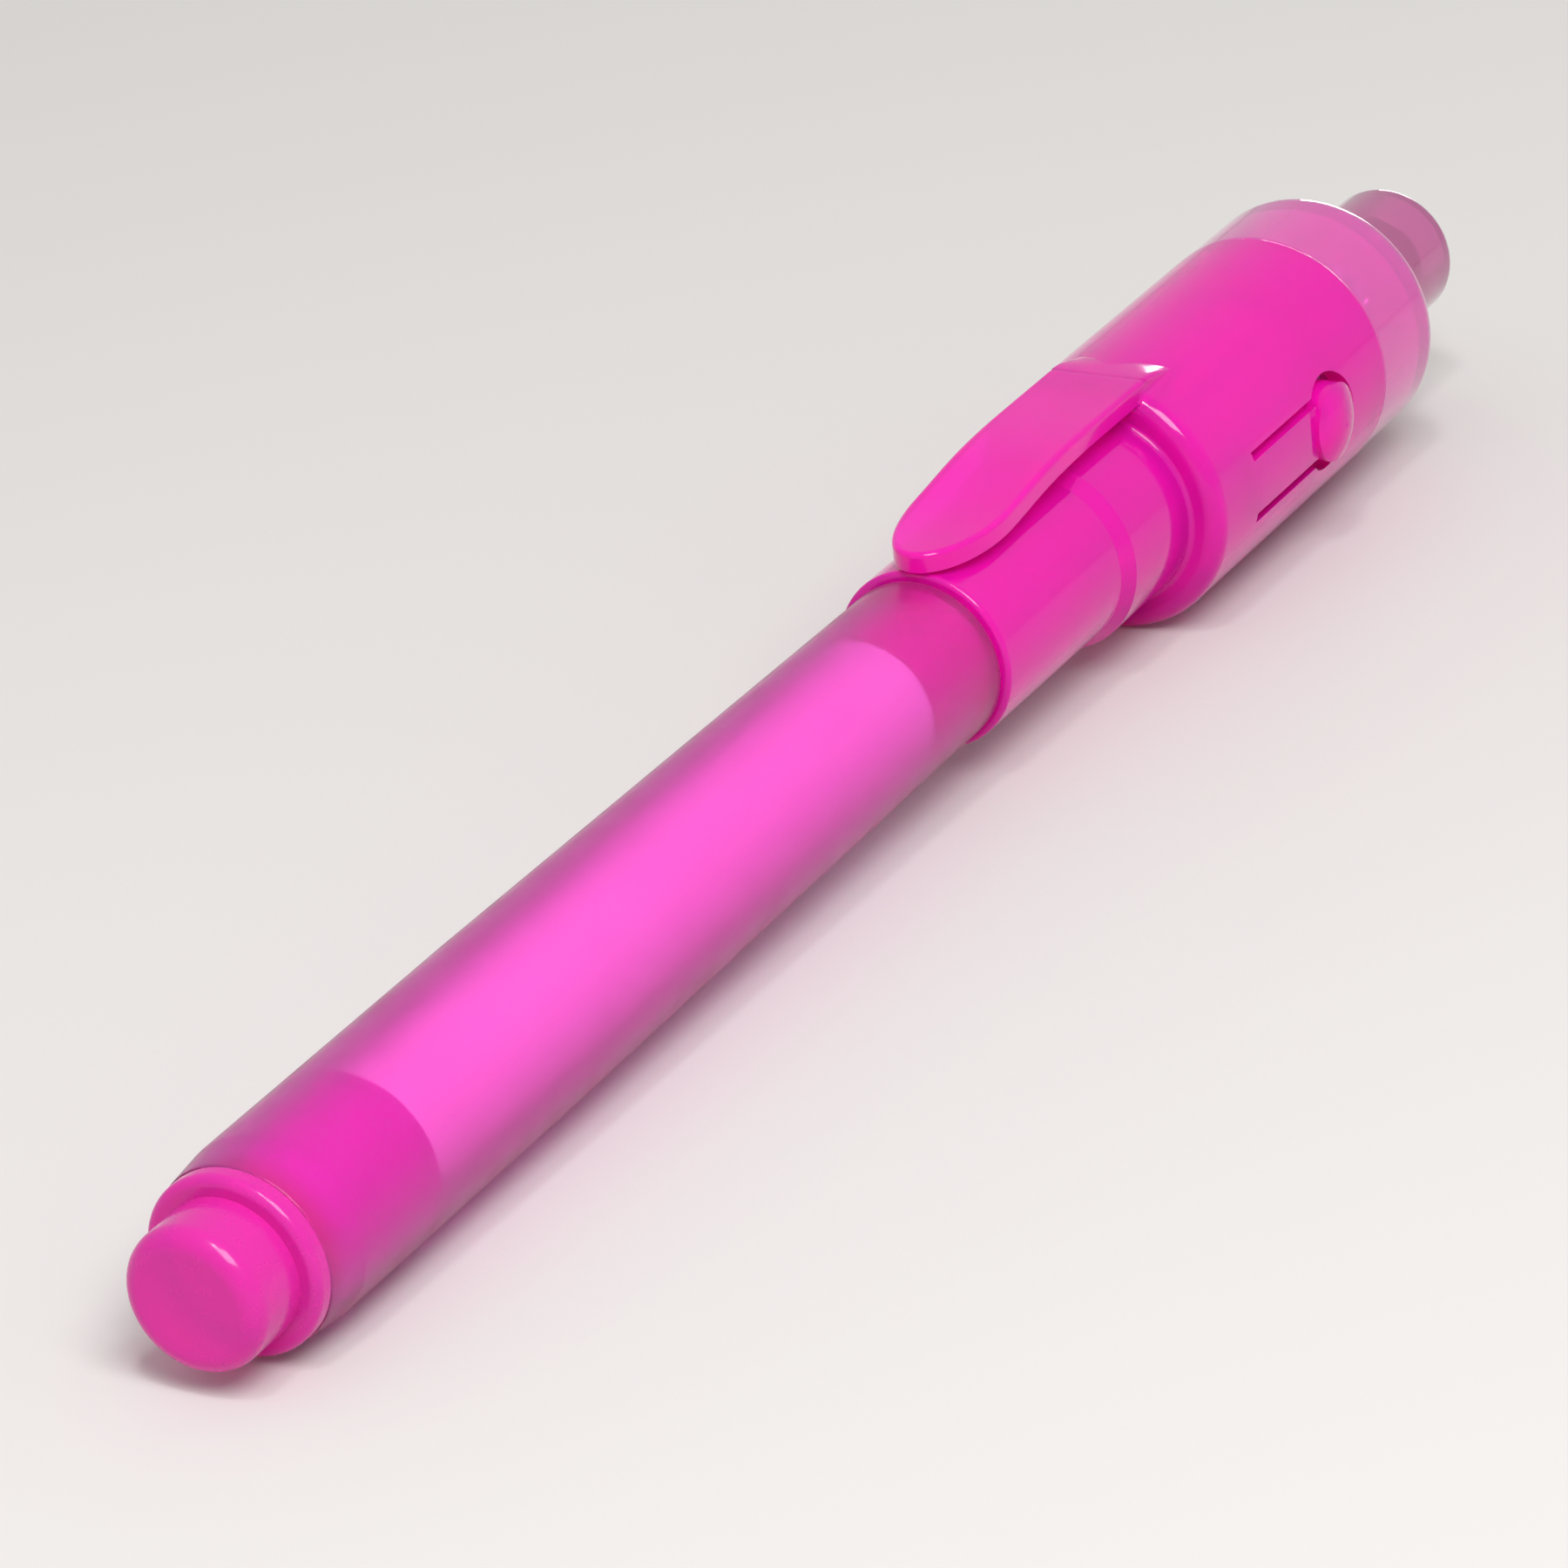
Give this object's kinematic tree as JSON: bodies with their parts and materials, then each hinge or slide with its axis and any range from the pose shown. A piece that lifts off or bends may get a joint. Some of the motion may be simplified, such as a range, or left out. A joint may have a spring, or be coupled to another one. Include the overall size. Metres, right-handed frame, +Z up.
{
  "type": "uv invisible ink pen",
  "caption": "Translucent felt-tip pen with invisible ink, whose pull-off cap carries a clip, button cells, a push-button tongue and a UV lamp in a clear head.",
  "frame": {"origin": "under the middle of the pen's length, on the surface that the pen lies on", "axes": "+X along the pen from its tail to its lamp, +Z up through the clip, -Y through the button"},
  "size_m": [0.132, 0.0157, 0.0149],
  "materials": {
    "barrel_plastic": "satin translucent hot pink",
    "plug_plastic": "translucent magenta",
    "reservoir_film": "clear film",
    "reservoir_fibre": "white fibre",
    "nib_fibre": "white bonded fibre",
    "cap_plastic": "glossy translucent hot pink",
    "head_plastic": "glossy clear pink",
    "carrier_plastic": "natural white moulding",
    "contact_metal": "plated spring bronze",
    "lamp_epoxy": "clear epoxy",
    "lead_metal": "tinned",
    "cell_metal": "nickel plated",
    "gasket_plastic": "nylon"
  },
  "bodies": {
    "pen_body": {"barrel": "barrel_plastic", "tail_plug": "plug_plastic", "reservoir_wrap": "reservoir_film", "reservoir_core": "reservoir_fibre", "front_section": "plug_plastic", "nib": "nib_fibre"},
    "cap": {"cap_shell": "cap_plastic", "battery_carrier": "carrier_plastic", "contact_strip": "contact_metal", "led_lamp": "lamp_epoxy", "led_anode_lead": "lead_metal", "led_cathode_lead": "lead_metal", "cell_can_1": "cell_metal", "cell_can_2": "cell_metal", "cell_can_3": "cell_metal", "cell_cap_1": "cell_metal", "cell_cap_2": "cell_metal", "cell_cap_3": "cell_metal", "cell_gasket_1": "gasket_plastic", "cell_gasket_2": "gasket_plastic", "cell_gasket_3": "gasket_plastic"},
    "head": {"head": "head_plastic"},
    "clip": {"clip": "cap_plastic"},
    "button": {"button": "cap_plastic"},
    "contact_finger": {"contact_finger": "contact_metal"}
  },
  "joints": [
    {"name": "cap_pull", "type": "slide", "parent": "pen_body", "child": "cap", "axis": [1, 0, 0], "range_m": [0, 0.03]},
    {"name": "head_pull", "type": "slide", "parent": "cap", "child": "head", "axis": [1, 0, 0], "range_m": [0, 0.022]},
    {"name": "clip_flex", "type": "hinge", "parent": "cap", "child": "clip", "pos_m": [0.02801, 0, 0.01435], "axis": [0, 1, 0], "range_deg": [0, 7], "stiffness_Nm_per_rad": 0.3},
    {"name": "button_press", "type": "hinge", "parent": "cap", "child": "button", "pos_m": [0.03286, -0.00688, 0.00743], "axis": [0, 0, 1], "range_deg": [0, 4.5], "stiffness_Nm_per_rad": 0.15},
    {"name": "finger_flex", "type": "hinge", "parent": "cap", "child": "contact_finger", "pos_m": [0.03296, -0.00575, 0.00743], "axis": [0, 0, 1], "range_deg": [0, 4.5]}
  ],
  "couplings": [
    {"joint": "finger_flex", "follows": "button_press", "ratio": 1}
  ]
}
